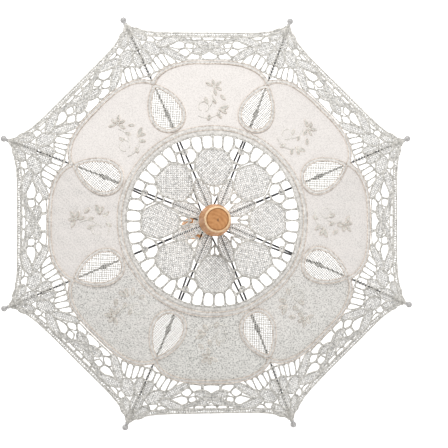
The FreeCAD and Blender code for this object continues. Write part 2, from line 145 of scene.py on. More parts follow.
def edge_path(steps=60):
    """Outer edge of the cotton band, from the gore's middle to the rib."""
    share = np.sin(np.linspace(0, math.pi / 2, steps))
    along = EDGE_AT_RIB + EDGE_BULGE * np.clip(1 - share**3, 0, 1) ** 0.62
    return np.stack([along, EDGE_HALF * share], -1)


def hem_path(inset=0.0, steps=70):
    """The hem, from the gore's middle to the rib; the inset closes up towards the rib."""
    across = np.linspace(0, HEM_HALF + 2, steps)
    share = across / HEM_HALF
    closing = inset * (1 - 0.75 * share**6)
    return np.stack([HEM_MIDDLE + HEM_RISE * share**6 - closing, across], -1)


def eye_path(inset=0.0, steps=48):
    """Closed outline of the net eye on a rib: blunt towards the shaft and pointed outwards."""
    share = (1 - np.cos(np.linspace(0, math.pi, steps))) / 2
    peak = (0.5 / 1.35) ** 0.5 * (0.85 / 1.35) ** 0.85
    width = (EYE_HALF - inset) * share**0.5 * (1 - share) ** 0.85 / peak
    out = EYE_START + inset + (EYE_END - EYE_START - 2.2 * inset) * share
    near = [from_rib(a, b) for a, b in zip(out, width)]
    far = [from_rib(a, -b) for a, b in zip(out, width)]
    return np.array(near + far[-2:0:-1])


def leaf(start, end, width, fullness=0.75, steps=14):
    """Closed outline of a leaf or petal between two points."""
    start, end = np.asarray(start, float), np.asarray(end, float)
    axis = end - start
    side = np.array([-axis[1], axis[0]]) / np.hypot(*axis)
    share = (1 - np.cos(np.linspace(0, math.pi, steps))) / 2
    half = width / 2 * np.sin(np.pi * share) ** fullness
    one = start + share[:, None] * axis + half[:, None] * side
    other = start + share[:, None] * axis - half[:, None] * side
    return np.concatenate([one, other[-2:0:-1]])


def shell(centre, length, width, rng, steps=54):
    """Rounded, uneven six-sided petal with a flat side towards the hem, narrower inwards."""
    angles = np.linspace(0, 2 * math.pi, steps, endpoint=False)
    sixth = math.pi / 3
    from_flat = (angles + sixth / 2) % sixth - sixth / 2
    reach = (math.cos(sixth / 2) / np.cos(from_flat)) ** 0.6
    for waves in (2, 3):
        reach = reach + 0.022 * np.cos(waves * angles + rng.uniform(0, 6.3))
    narrowing = 1 + 0.07 * np.cos(angles)
    along = centre[0] + length / 2 * reach * np.cos(angles)
    across = centre[1] + width / 2 * reach * np.sin(angles) * narrowing
    return np.stack([along, across], -1)


def rounded(corners, inset):
    """A cell's outline, drawn in a little from its corners and rounded by cutting them off."""
    outline = np.asarray(corners, float)
    rays = outline - outline.mean(axis=0)
    outline = outline - rays * (inset / np.hypot(*rays.T))[:, None]
    for cut in (0.17, 0.27, 0.27):
        after = np.roll(outline, -1, axis=0)
        step = (after - outline) * cut
        outline = np.stack([outline + step, after - step], axis=1).reshape(-1, 2)
    return outline


# ---------------------------------------------------------------- clipping to half a gore
# The half gore lies between the middle line (across = 0) and the rib's plane.
SIDES = (
    (np.array([0.0, 1.0]), 0.0),
    (np.array([math.sin(HALF), -math.cos(HALF)]), 0.0),
)


def depth_inside(points):
    """Distance inside the half gore, negative outside it."""
    return np.min([points @ normal - offset for normal, offset in SIDES], axis=0)


def clip_outline(outline):
    """The part of a closed outline that is inside the half gore."""
    points = [np.asarray(point, float) for point in outline]
    for normal, offset in SIDES:
        kept = []
        for here, after in zip(points, points[1:] + points[:1]):
            a, b = here @ normal - offset, after @ normal - offset
            if a >= 0:
                kept.append(here)
            if (a > 0 > b) or (a < 0 < b):
                kept.append(here + (after - here) * a / (a - b))
        points = kept
        if len(points) < 3:
            return None
    return np.array(points)


def resample(path, step):
    """The same path with points about one step apart."""
    path = np.asarray(path, float)
    reach = np.concatenate([[0], np.cumsum(np.hypot(*np.diff(path[:, :2], axis=0).T))])
    count = max(2, int(round(reach[-1] / step)) + 1)
    places = np.linspace(0, reach[-1], count)
    return np.stack([np.interp(places, reach, column) for column in path.T], -1)


def clip_path(path):
    """Runs of a path that are inside the half gore, cut exactly at its sides."""
    path = np.asarray(path, float)
    depth = depth_inside(path[:, :2])
    runs, run = [], []
    for index, point in enumerate(path):
        if index and (depth[index] >= 0) != (depth[index - 1] >= 0):
            share = depth[index - 1] / (depth[index - 1] - depth[index])
            cut = path[index - 1] + share * (point - path[index - 1])
            run.append(cut)
            if depth[index] < 0:
                runs.append(np.array(run))
                run = []
        if depth[index] >= 0:
            run.append(point)
    runs.append(np.array(run))
    return [kept for kept in runs if len(kept) > 1 and np.ptp(kept[:, :2], axis=0).max() > 0.05]


# ---------------------------------------------------------------- threads and sheets
ROUND_4 = [(math.cos(a), math.sin(a)) for a in np.arange(4) * math.pi / 2]
ROUND_6 = [(math.cos(a), math.sin(a)) for a in np.arange(6) * math.pi / 3]
FLAT = [(1, 1), (-1, 1), (-1, -1), (1, -1)]


class Work:
    """The threads and sheets of one piece, as points, faces and the finish of each face."""

    def __init__(self, finishes):
        self.finishes = finishes
        self.blocks = []
        self.faces = []
        self.finish = []
        self.count = 0

    def add(self, points, faces, finish):
        self.blocks.append(points)
        self.faces += [[self.count + corner for corner in face] for face in faces]
        self.finish += [self.finishes.index(finish)] * len(faces)
        self.count += len(points)

    def sweep(self, path, width, height, finish, section=ROUND_4):
        """A closed thread or strip along (along, across, height) points."""
        path = np.asarray(path, float)
        ahead = np.gradient(path[:, :2], axis=0)
        ahead /= np.maximum(np.hypot(ahead[:, 0], ahead[:, 1]), 1e-9)[:, None]
        beside = np.stack([-ahead[:, 1], ahead[:, 0], 0 * ahead[:, 0]], -1)
        rings = [
            path + beside * (side * width / 2) + np.array([0, 0, up * height / 2])
            for side, up in section
        ]
        size, rows = len(section), len(path)
        points = np.stack(rings, 1).reshape(-1, 3)
        faces = []
        for row in range(rows - 1):
            here, after = row * size, (row + 1) * size
            for k in range(size):
                n = (k + 1) % size
                faces.append((here + k, after + k, after + n, here + n))
        faces.append(tuple(range(size)))
        faces.append(tuple(range((rows - 1) * size, rows * size))[::-1])
        self.add(points, faces, finish)

    def cord(self, path, width, finish, height=0.0, section=ROUND_6, step=1.6):
        """A cord along a flat path, cut at the half gore's sides."""
        for run in clip_path(resample(path, step)):
            lifted = np.column_stack([run[:, :2], np.full(len(run), height)])
            self.sweep(lifted, width, width * 0.85, finish, section)

    def closed_cord(self, outline, width, finish, height=0.0, step=1.6):
        loop = np.concatenate([outline, outline[:1]])
        self.cord(loop, width, finish, height, ROUND_4, step)

    def cloth_stitch(self, outline, lean, pitch, width, finish, rng, lift=0.0, ways=(0, 1)):
        """Crossing threads over and under each other inside an outline."""
        region = clip_outline(outline)
        if region is None:
            return
        for way in ways:
            angle = lean + way * math.pi / 2
            ahead = np.array([math.cos(angle), math.sin(angle)])
            beside = np.array([-ahead[1], ahead[0]])
            a, b = region @ ahead, region @ beside
            first, last = math.ceil(b.min() / pitch), math.floor(b.max() / pitch)
            for lane in range(first, last + 1):
                level = lane * pitch + 1e-5
                cuts = []
                for k in range(len(b)):
                    n = (k + 1) % len(b)
                    if (b[k] - level) * (b[n] - level) < 0:
                        cuts.append(a[k] + (a[n] - a[k]) * (level - b[k]) / (b[n] - b[k]))
                cuts.sort()
                wander = rng.uniform(-0.12, 0.12) * pitch
                for start, end in zip(cuts[::2], cuts[1::2]):
                    if end - start < pitch * 0.6:
                        continue
                    first_knot = math.ceil(start / pitch + 0.25)
                    knots = np.arange(first_knot, math.floor(end / pitch - 0.25) + 1)
                    places = np.concatenate([[start], knots * pitch, [end]])
                    over = np.concatenate([[0], 1 - 2 * ((knots + lane + way) % 2), [0]])
                    flat = places[:, None] * ahead + (level + wander) * beside
                    height = lift + over * width * 0.28
                    self.sweep(np.column_stack([flat, height]), width, width * 0.6, finish)

    def tape(self, path, width, core, edge, height=0.0, gap=1.25):
        """Woven tape: a flat core, cross threads and a cord on each side."""
        path = resample(path, 0.4)
        ahead = np.gradient(path, axis=0)
        ahead /= np.hypot(*ahead.T)[:, None]
        beside = np.stack([-ahead[:, 1], ahead[:, 0]], -1)
        side = width / 2 - TAPE_CORD_INSET
        for sign in (-1, 1):
            self.cord(path + beside * side * sign, TAPE_CORD, edge, height + 0.12, ROUND_4, 1.4)
        for run in clip_path(resample(path, 2.0)):
            lifted = np.column_stack([run, np.full(len(run), height - 0.12)])
            self.sweep(lifted, 2 * side, TAPE_CORE, core, FLAT)
        stride = max(1, int(round(gap / 0.4)))
        for k in range(stride // 2, len(path), stride):
            rung = np.array([path[k] - beside[k] * side, path[k], path[k] + beside[k] * side])
            self.cord(rung, TAPE_RUNG, core, height + 0.05, ROUND_4, 1.2)

    def mesh(self, name, warp, mirrored, azimuth, materials):
        """A Blender object of everything collected, bent onto the ribs and turned into place."""
        flat = np.concatenate(self.blocks)
        flat[:, :2] += warp(flat[:, :2])
        points = bend(flat)
        faces = self.faces
        if mirrored:
            points[:, 1] *= -1
            faces = [face[::-1] for face in faces]
        mesh = bpy.data.meshes.new(name)
        mesh.from_pydata((turn(points, azimuth) * MM).tolist(), [], faces)
        mesh.polygons.foreach_set("material_index", self.finish)
        mesh.polygons.foreach_set("use_smooth", [True] * len(faces))
        for finish in self.finishes:
            mesh.materials.append(materials[finish])
        weave = mesh.uv_layers.new(name="cloth")
        corners = np.zeros(len(mesh.loops), int)
        mesh.loops.foreach_get("vertex_index", corners)
        places = flat[corners, :2] * (UV_PER_MM, -UV_PER_MM if mirrored else UV_PER_MM)
        weave.data.foreach_set("uv", places.ravel())
        mesh.update()
        piece = bpy.data.objects.new(name, mesh)
        bpy.context.scene.collection.objects.link(piece)
        return piece


# ---------------------------------------------------------------- the lace pattern
def petal(work, outline, lean, rng, pitch=PETAL_PITCH, width=PETAL_THREAD):
    """Woven petal with a corded edge."""
    work.cloth_stitch(outline, lean, pitch, width, "thread", rng)
    work.closed_cord(outline, PETAL_CORD, "cord", 0.2)


def uneven(corners, phase, reach=0.55):
    """Corners moved a little, the same way for every cell that shares them."""
    corners = np.asarray(corners, float)
    along, across = corners.T
    out = reach * np.sin(2.1 * along + 3.3 * across + phase)
    beside = reach * np.sin(3.7 * along - 1.9 * across + 2 * phase)
    return corners + np.stack([out, np.where(np.abs(across) < 0.01, 0, beside)], -1)


def cells(work, phase, *outlines):
    """Open cells: a straight thread from corner to corner and a rounded one inside it."""
    for corners in outlines:
        corners = uneven(corners, phase)
        work.closed_cord(corners, CELL_CORD, "cord", 0.0, 1.4)
        work.closed_cord(rounded(corners, CELL_INSET), CELL_ROUND_CORD, "cord", 0.05, 0.9)


def centre_lace(work, rng, gore_rng, side, phase):
    """Shell petals, rib leaves and the cells that tie them to each other and to the ring."""
    outline = shell((46.3, 0), 34.6, gore_rng.uniform(31.5, 34.5), gore_rng) * np.array([1, side])
    petal(work, outline, math.radians(gore_rng.uniform(25, 65)) * side, rng)
    hub_leaf = leaf(from_rib(12.5, 0), from_rib(39, 0), 11.4, 0.6)
    petal(work, hub_leaf, HALF, rng, HUB_LEAF_PITCH, HUB_LEAF_THREAD)
    knot = leaf(from_rib(61.6, 0), from_rib(66.6, 0), 5.0, 0.5)
    petal(work, knot, HALF, rng)
    cells(
        work,
        phase,
        [(62.2, 0), (75.2, 0), (74.5, 9.8), (61.6, 8.8)],
        [(61.6, 8.8), (74.5, 9.8), (72.5, 19.6), (63.6, 18.0), (57.4, 13.0)],
        [(63.6, 18.0), (72.5, 19.6), from_rib(75.2, -5), from_rib(65.6, -5)],
        [(57.4, 13.0), (63.6, 18.0), from_rib(65.6, -5), from_rib(54.0, -5), (50.6, 16.2)],
        [(50.6, 16.2), from_rib(54.0, -5), from_rib(45.2, -5), (43.6, 16.2)],
        [(20.0, 0), (25.6, 5.4), (30.6, 4.2), (29.4, 0)],
    )


def ring_tapes(work):
    """Double tape round the lace centre."""
    middle = (RING_IN + RING_OUT) / 2
    width = (RING_OUT - RING_IN) / 2 + 0.3
    work.tape(circle_path(middle - width / 2 + 0.2), width, "core", "cord", -0.1)
    work.tape(circle_path(middle + width / 2 - 0.2), width, "core", "edge", 0.3)


def net_eye(work, rng, side):
    """Net in a tape, on the rib."""
    lean = HALF + side * math.radians(20)
    work.cloth_stitch(eye_path(TAPE - 0.6), lean, NET_PITCH, NET_THREAD, "cord", rng)
    outline = eye_path(TAPE / 2)
    loop = np.concatenate([outline, outline[:1]])
    work.tape(loop, TAPE, "core", "edge", 0.55)


def border_lace(work, rng, phase):
    """Chevron leaves, a bow at the middle, petal clusters round the ribs, and the bars between."""
    leaves = (
        ((143.8, 20.5), (157.0, 43.6), 7.2, 0.4),
        ((158.6, 47.0), (168.0, 25.0), 8.2, 0.42),
        ((157.0, -1.5), (151.8, 15.0), 8.8, 0.5),
        ((157.2, -1.5), (163.0, 13.4), 7.8, 0.5),
    )
    for start, end, width, fullness in leaves:
        lean = math.atan2(end[1] - start[1], end[0] - start[0])
        petal(work, leaf(start, end, width, fullness), lean, rng)
    work.tape([(161.8, 9.0), (163.2, 16.5), (166.4, 26.0)], 3.8, "thread", "cord", 0.1)
    cluster = (
        ((150.2, 4.8), (165.8, 4.2), 7.2, 0.0),
        ((166.4, 2.0), (182.0, 1.6), 7.0, 0.0),
        ((157.4, 18.4), (170.0, 6.6), 12.4, -0.7),
        ((173.4, 11.6), (188.0, 4.4), 9.0, -0.5),
        ((182.4, 0), (194.0, 0), 7.4, 0.0),
    )
    for start, end, width, lean in cluster:
        petal(work, leaf(from_rib(*start), from_rib(*end), width, 0.42), HALF + lean, rng)
    cells(
        work,
        phase,
        [(144.9, -8.4), (152.6, -7.4), (154.8, 0), (152.6, 7.4), (144.9, 8.4)],
        [(144.9, 8.4), (151.8, 8.0), (152.4, 16.0), (147.6, 20.6), (144.8, 20.4)],
        [(147.6, 20.6), (152.4, 16.0), (156.4, 21.6), (154.2, 27.0), (150.4, 28.0)],
        [(155.0, 15.2), (158.6, 13.2), (161.6, 13.6), (162.4, 20.8), (156.4, 21.6)],
        [(156.4, 21.6), (162.4, 20.8), (164.6, 25.6), (158.4, 39.4), (154.2, 27.0)],
        [(164.0, -5.2), (169.2, -5.2), (169.2, 5.2), (164.0, 5.2)],
        [(164.0, 5.2), (169.2, 5.2), (169.3, 15.4), (164.8, 15.4)],
        [(164.8, 15.4), (169.3, 15.4), (169.4, 24.4), (166.8, 24.6)],
        [(141.8, 29.4), (148.2, 35.0), (151.4, 42.0), (139.2, 35.4)],
        [(139.2, 35.4), (151.4, 42.0), (149.2, 47.6), (136.8, 40.0)],
        [(136.8, 40.0), (149.2, 47.6), (145.4, 50.8), (134.2, 44.6)],
        [(134.2, 44.6), (145.4, 50.8), (141.8, 53.2), (131.8, 48.8)],
        [(131.8, 48.8), (141.8, 53.2), from_rib(152.4, -3.0), from_rib(139.6, -3.0)],
        [(164.4, 42.4), (169.8, 36.4), (170.9, 46.0), (169.2, 50.8), (164.6, 47.8)],
        [(161.8, 48.6), (164.6, 47.8), (169.2, 50.8), (168.4, 57.6), (163.0, 56.4)],
        [(169.2, 50.8), (171.2, 47.0), (173.2, 54.0), (174.4, 61.0), (168.4, 57.6)],
    )


def hem(work):
    """Two cords with a close ladder of bars between them."""
    outer, inner = hem_path(), hem_path(HEM_WIDTH)
    work.cord(outer, HEM_CORD, "cord", 0.1)
    work.cord(inner, HEM_INNER_CORD, "cord", 0.1)
    outer, inner = resample(outer, 1.0), resample(inner, 1.0)
    count = int(len(outer) / HEM_RUNG_GAP)
    for k in range(count):
        share = (k + 0.5) / count
        a = outer[int(share * (len(outer) - 1))]
        b = inner[int(share * (len(inner) - 1))]
        work.cord([a, b], HEM_RUNG, "thread", 0.0, ROUND_4, 2.0)


# ---------------------------------------------------------------- cotton band
def coons(low, high, left, right):
    """Points of a patch between four edges; left and right run from low to high."""
    u = np.linspace(0, 1, len(low))[None, :, None]
    v = np.linspace(0, 1, len(left))[:, None, None]
    along = (1 - v) * low[None] + v * high[None]
    up = (1 - u) * left[:, None] + u * right[:, None]
    corners = (1 - u) * (1 - v) * low[0] + u * (1 - v) * low[-1]
    corners = corners + (1 - u) * v * high[0] + u * v * high[-1]
    return along + up - corners


def evenly(path, count):
    """The same path with a given count of evenly spaced points."""
    path = np.asarray(path, float)
    reach = np.concatenate([[0], np.cumsum(np.hypot(*np.diff(path, axis=0).T))])
    places = np.linspace(0, reach[-1], count)
    return np.stack([np.interp(places, reach, column) for column in path.T], -1)


def cotton_sheet(work, swell):
    """The cotton between the ring, the net eye and the band's edge, as one closed sheet."""
    count = SHEET_STEPS
    angles = np.linspace(0, HALF, count)
    low = (RING_OUT - 2.5) * np.stack([np.cos(angles), np.sin(angles)], -1)
    high = evenly(edge_path(), count)
    left = np.stack([np.linspace(low[0][0], high[0][0], count), np.zeros(count)], -1)
    eye = eye_path(TAPE * 0.6)
    near = eye[: (len(eye) + 2) // 2]
    right = evenly(np.concatenate([low[-1:], near, high[-1:]]), count)
    grid = coons(low, high, left, right).reshape(-1, 2)
    height = swell(grid)
    top = np.column_stack([grid, height + SHEET_TOP])
    bottom = np.column_stack([grid, height + SHEET_BOTTOM])
    size = count * count
    sheet = np.concatenate([top, bottom])
    faces = []
    for row in range(count - 1):
        for column in range(count - 1):
            a = row * count + column
            quad = (a, a + count, a + count + 1, a + 1)
            faces.append(quad[::-1])
            faces.append(tuple(size + corner for corner in quad))
    rim = list(range(count)) + [r * count + count - 1 for r in range(1, count)]
    rim += [size - 1 - c for c in range(1, count)]
    rim += [size - count - r * count for r in range(1, count - 1)]
    work.add(sheet, faces, "cotton")
    # The rim has its own points, so that it doesn't shade the sheet's edges.
    walls = []
    for a, b in zip(range(len(rim)), list(range(1, len(rim))) + [0]):
        walls.append((a, b, len(rim) + b, len(rim) + a)[::-1])
    work.add(np.concatenate([top[rim], bottom[rim]]), walls, "cotton")


def satin(work, start, end, width, rng):
    """Satin-stitched petal: close threads across it."""
    outline = leaf(start, end, width, 0.8, 10)
    lean = math.atan2(end[1] - start[1], end[0] - start[0]) + math.radians(70)
    work.cloth_stitch(outline, lean, SATIN_PITCH, SATIN_THREAD, "embroidery", rng, 0.30, (0,))
    work.closed_cord(outline, SATIN_OUTLINE, "edge", 0.3, 1.0)


def arc_path(centre, radius, start_deg, end_deg, steps=24):
    angles = np.radians(np.linspace(start_deg, end_deg, steps))
    return np.stack([centre[0] + radius * np.cos(angles), centre[1] + radius * np.sin(angles)], -1)


def embroidery(work, rng, side):
    """A flower, a leaf spray and curled stems; side is -1 on the gore's second half."""
    flip = np.array([1, side])
    flower = np.array([119.0, 3.0])
    for degrees, reach in ((172, 8.4), (112, 7.0), (52, 8.0), (-8, 7.0), (-62, 8.6)):
        angle = math.radians(degrees)
        ray = np.array([math.cos(angle), math.sin(angle)])
        satin(work, (flower + ray * 1.4) * flip, (flower + ray * reach) * flip, 2.6, rng)
    sprig = (
        ((97.5, 6.0), (101.5, 15.0), 3.6),
        ((95.0, 4.6), (89.8, 8.4), 2.6),
        ((92.8, -1.6), (87.6, -3.6), 2.8),
        ((98.6, 7.4), (94.6, 13.2), 2.8),
        ((111.6, 8.2), (107.0, 12.2), 2.6),
        ((108.4, 1.6), (103.4, 3.8), 2.6),
        ((103.6, -3.4), (109.2, -5.6), 2.6),
    )
    for start, end, width in sprig:
        satin(work, np.array(start) * flip, np.array(end) * flip, width, rng)
    stems = (
        arc_path((104.0, -4.5), 14.0, 212, 120),
        arc_path((100.5, -7.0), 4.6, -150, 160),
        arc_path((109.0, -12.0), 13.5, 128, 62),
    )
    for stem in stems:
        work.cord(stem * flip, STEM_CORD, "embroidery", 0.3, ROUND_4, 1.2)
    knot = arc_path(flower, 1.0, 0, 360, 12)
    work.cord(knot * flip, KNOT_CORD, "embroidery", 0.5, ROUND_4, 0.8)


# ---------------------------------------------------------------- materials
def material(name, roughness, metallic=0.0):
    """A new material with its node tree, its shader and the object coordinates."""
    made = bpy.data.materials.new(name)
    made.use_nodes = True
    tree = made.node_tree
    shader = tree.nodes["Principled BSDF"]
    shader.inputs["Roughness"].default_value = roughness
    shader.inputs["Metallic"].default_value = metallic
    place = tree.nodes.new("ShaderNodeTexCoord")
    return made, tree, shader, place.outputs["Object"]


def noise(tree, place, scale, detail=2.0, stretch=(1, 1, 1)):
    """Noise at a scale per metre, optionally stretched."""
    mapping = tree.nodes.new("ShaderNodeMapping")
    mapping.inputs["Scale"].default_value = stretch
    tree.links.new(place, mapping.inputs["Vector"])
    node = tree.nodes.new("ShaderNodeTexNoise")
    node.inputs["Scale"].default_value = scale
    node.inputs["Detail"].default_value = detail
    tree.links.new(mapping.outputs["Vector"], node.inputs["Vector"])
    return node.outputs["Fac"]


def ramp(tree, factor, *stops):
    """Colour ramp through (position, (r, g, b)) stops."""
    node = tree.nodes.new("ShaderNodeValToRGB")
    elements = node.color_ramp.elements
    for extra in stops[2:]:
        elements.new(extra[0])
    for element, (position, colour) in zip(elements, stops):
        element.position = position
        element.color = (*colour, 1)
    tree.links.new(factor, node.inputs["Fac"])
    return node.outputs["Color"]


def math_node(tree, operation, a, b=None):
    """A sum, product or other operation on numbers or sockets."""
    node = tree.nodes.new("ShaderNodeMath")
    node.operation = operation
    for socket, value in zip(node.inputs, (a, b)):
        if value is None:
            continue
        if isinstance(value, (int, float)):
            socket.default_value = value
        else:
            tree.links.new(value, socket)
    return node.outputs[0]


def mix(tree, factor, a, b):
    """Colour between a and b; the factor may be a number or a socket."""
    node = tree.nodes.new("ShaderNodeMix")
    node.data_type = "RGBA"
    for socket, value in ((node.inputs[0], factor), (node.inputs[6], a), (node.inputs[7], b)):
        if isinstance(value, (int, float)):
            socket.default_value = value
        elif isinstance(value, tuple):
            socket.default_value = (*value, 1)
        else:
            tree.links.new(value, socket)
    return node.outputs[2]


def bump(tree, shader, height, distance, strength=1.0):
    node = tree.nodes.new("ShaderNodeBump")
    node.inputs["Distance"].default_value = distance
    node.inputs["Strength"].default_value = strength
    tree.links.new(height, node.inputs["Height"])
    tree.links.new(node.outputs["Normal"], shader.inputs["Normal"])


def out_from_shaft(tree, place):
    """Distance from the shaft's axis, and height."""
    split = tree.nodes.new("ShaderNodeSeparateXYZ")
    tree.links.new(place, split.inputs[0])
    squares = [math_node(tree, "POWER", split.outputs[axis], 2.0) for axis in "XY"]
    return math_node(tree, "SQRT", math_node(tree, "ADD", *squares)), split.outputs["Z"]


def smooth_step(tree, value, low, high):
    """Amount that grows from 0 at low to 1 at high."""
    share = tree.nodes.new("ShaderNodeMapRange")
    share.interpolation_type = "SMOOTHSTEP"
    share.inputs["From Min"].default_value = low
    share.inputs["From Max"].default_value = high
    tree.links.new(value, share.inputs["Value"])
    return share.outputs["Result"]


def thread_material(name, dark, light, sheen=0.55):
    """Spun cotton thread: uneven in tone, matt, with a fine twist."""
    made, tree, shader, place = material(name, 0.92)
    blotches = math_node(tree, "MULTIPLY", noise(tree, place, 520, 2), 0.75)
    fibres = noise(tree, place, 5200, 2)
    factor = math_node(tree, "ADD", blotches, math_node(tree, "MULTIPLY", fibres, 0.25))
    colour = ramp(tree, factor, (0.38, dark), (0.60, light))
    tree.links.new(colour, shader.inputs["Base Color"])
    shader.inputs["Sheen Weight"].default_value = sheen
    bump(tree, shader, fibres, 0.0002, 0.7)
    return made


def cotton_material():
    """Plain-woven cotton: warp and weft, slubs and a faint diagonal, with painted shade: darker and
    grainier where it faces -Y, away from the key light.
    """
    made, tree, shader, place = material("cotton_weave", 0.88)
    uv = tree.nodes.new("ShaderNodeUVMap")
    uv.uv_map = "cloth"
    waves = []
    for way, period, wander in (("X", 0.9, 5.0), ("Y", 0.9, 5.0), ("DIAGONAL", 2.1, 1.5)):
        wave = tree.nodes.new("ShaderNodeTexWave")
        wave.wave_type = "BANDS"
        wave.bands_direction = way
        # At scale 1 the bands repeat every 2 pi / 20 of the texture's length.
        wave.inputs["Scale"].default_value = 2 * math.pi / 20 / (period * UV_PER_MM)
        wave.inputs["Distortion"].default_value = wander
        wave.inputs["Detail"].default_value = 1.0
        wave.inputs["Detail Scale"].default_value = 0.8
        tree.links.new(uv.outputs["UV"], wave.inputs["Vector"])
        waves.append(wave.outputs["Fac"])
    weave = math_node(tree, "MAXIMUM", waves[0], waves[1])
    slubs = noise(tree, place, 950, 3)
    woven = math_node(tree, "MULTIPLY", weave, 0.15)
    tone = math_node(tree, "ADD", woven, math_node(tree, "MULTIPLY", slubs, 0.85))
    lit_side_tone = ramp(tree, tone, (0.34, (0.68, 0.645, 0.615)), (0.60, (0.875, 0.83, 0.795)))
    # Painted shade: a darker, grainier copy of the cloth's colour, mixed in where the cloth faces
    # -Y, away from the key light.
    painted_shade_tone = ramp(tree, tone, (0.41, (0.30, 0.295, 0.275)), (0.55, (0.91, 0.895, 0.85)))
    facing = tree.nodes.new("ShaderNodeNewGeometry")
    split = tree.nodes.new("ShaderNodeSeparateXYZ")
    tree.links.new(facing.outputs["Normal"], split.inputs[0])
    away = math_node(tree, "MULTIPLY", split.outputs["Y"], -1.0)
    colour = mix(tree, smooth_step(tree, away, -0.1, 0.5), lit_side_tone, painted_shade_tone)
    tree.links.new(colour, shader.inputs["Base Color"])
    shader.inputs["Sheen Weight"].default_value = 0.2
    diagonal = math_node(tree, "MULTIPLY", waves[2], 0.3)
    relief = math_node(tree, "ADD", math_node(tree, "MULTIPLY", slubs, 1.5), diagonal)
    bump(tree, shader, relief, 0.0003, 0.8)
    return made


def cap_edge(tree, place, colour):
    """Pale wood colour painted on the cap's rounded top edge as a highlight, and painted shade as a
    dark circle in the scribed groove inside it.
    """
    radius, height = out_from_shaft(tree, place)
    low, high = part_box("top_cap")
    top, reach = high.z, high.x
    upper = smooth_step(tree, height, top - 1.8 * MM, top - 0.9 * MM)
    rim = smooth_step(tree, radius, reach - 4.5 * MM, reach - 4.1 * MM)
    # Painted highlight: paler wood on the rounded top edge, in patches.
    patchy = math_node(tree, "MULTIPLY", noise(tree, place, 400, 2, (1, 1, 0.5)), 1.6)
    painted_highlight = math_node(tree, "MULTIPLY", math_node(tree, "MULTIPLY", rim, upper), patchy)
    colour = mix(tree, painted_highlight, colour, (0.90, 0.67, 0.42))
    # Painted shade: a dark circle in the scribed groove inside the edge.
    inner = smooth_step(tree, radius, reach - 5.3 * MM, reach - 5.0 * MM)
    outer = smooth_step(tree, radius, reach - 4.5 * MM, reach - 4.8 * MM)
    groove = math_node(tree, "MULTIPLY", math_node(tree, "MULTIPLY", inner, outer), upper)
    return mix(tree, math_node(tree, "MULTIPLY", groove, 0.6), colour, (0.20, 0.10, 0.05))


def wood_material(name, dark, light, pith_and_painted_edge=False):
    """Varnished light wood with grain along the shaft and rings on end grain."""
    made, tree, shader, place = material(name, 0.5)
    grain = noise(tree, place, 420, 4, (1, 1, 0.06))
    wide = noise(tree, place, 70, 2, (1, 1, 0.10))
    rings = tree.nodes.new("ShaderNodeTexWave")
    rings.wave_type = "RINGS"
    rings.rings_direction = "Z"
    rings.inputs["Scale"].default_value = 95
    rings.inputs["Distortion"].default_value = 2.2
    rings.inputs["Detail"].default_value = 2
    rings.inputs["Detail Scale"].default_value = 1.2
    shifted = tree.nodes.new("ShaderNodeMapping")
    shifted.inputs["Location"].default_value = (0.006, 0.009, 0)
    shifted.inputs["Scale"].default_value = (1, 1, 0.15)
    tree.links.new(place, shifted.inputs["Vector"])
    tree.links.new(shifted.outputs["Vector"], rings.inputs["Vector"])
    tone = math_node(tree, "MULTIPLY", grain, 0.45)
    tone = math_node(tree, "ADD", tone, math_node(tree, "MULTIPLY", wide, 0.30))
    tone = math_node(tree, "ADD", tone, math_node(tree, "MULTIPLY", rings.outputs["Fac"], 0.13))
    colour = ramp(tree, tone, (0.26, dark), (0.58, light))
    if pith_and_painted_edge:
        place_xy = tree.nodes.new("ShaderNodeMapping")
        place_xy.inputs["Location"].default_value = (-0.0004, 0.0005, 0)
        place_xy.inputs["Scale"].default_value = (1.5, 0.8, 0)
        tree.links.new(place, place_xy.inputs["Vector"])
        length = tree.nodes.new("ShaderNodeVectorMath")
        length.operation = "LENGTH"
        tree.links.new(place_xy.outputs["Vector"], length.inputs[0])
        ragged = math_node(tree, "MULTIPLY", noise(tree, place, 1300, 2), 0.0016)
        reach = math_node(tree, "ADD", length.outputs["Value"], ragged)
        spot = math_node(tree, "LESS_THAN", reach, 0.0019)
        colour = mix(tree, math_node(tree, "MULTIPLY", spot, 0.75), colour, (0.16, 0.09, 0.05))
        # The cap also gets a painted highlight on its top edge and painted shade in its groove.
        colour = cap_edge(tree, place, colour)
    tree.links.new(colour, shader.inputs["Base Color"])
    shader.inputs["Specular IOR Level"].default_value = 0.22
    bump(tree, shader, grain, 0.0002, 0.35)
    return made


def metal_material(name, dark, light, roughness, metallic=1.0, painted_light_far_out=None):
    """Drawn or enamelled metal with fine streaks and rubbed spots, with painted light making it
    lighter far from the shaft.
    """
    made, tree, shader, place = material(name, roughness, metallic)
    streaks = noise(tree, place, 900, 3)
    colour = ramp(tree, streaks, (0.32, dark), (0.68, light))
    if painted_light_far_out:
        # Painted light: the colour turns lighter from 0.11 m to 0.16 m out from the shaft.
        radius, _ = out_from_shaft(tree, place)
        colour = mix(tree, smooth_step(tree, radius, 0.11, 0.16), colour, painted_light_far_out)
    tree.links.new(colour, shader.inputs["Base Color"])
    wear = noise(tree, place, 270, 3)
    rough = math_node(tree, "ADD", math_node(tree, "MULTIPLY", wear, 0.25), roughness - 0.1)
    tree.links.new(rough, shader.inputs["Roughness"])
    bump(tree, shader, streaks, 0.0001, 0.4)
    return made


def plastic_material(name, dark, light):
    """Moulded plastic with a fine pebbled surface."""
    made, tree, shader, place = material(name, 0.5)
    pebbles = noise(tree, place, 2600, 2)
    clouds = noise(tree, place, 160, 2)
    tree.links.new(ramp(tree, clouds, (0.35, dark), (0.65, light)), shader.inputs["Base Color"])
    shader.inputs["Subsurface Weight"].default_value = 0.04
    bump(tree, shader, pebbles, 0.0001, 0.5)
    return made


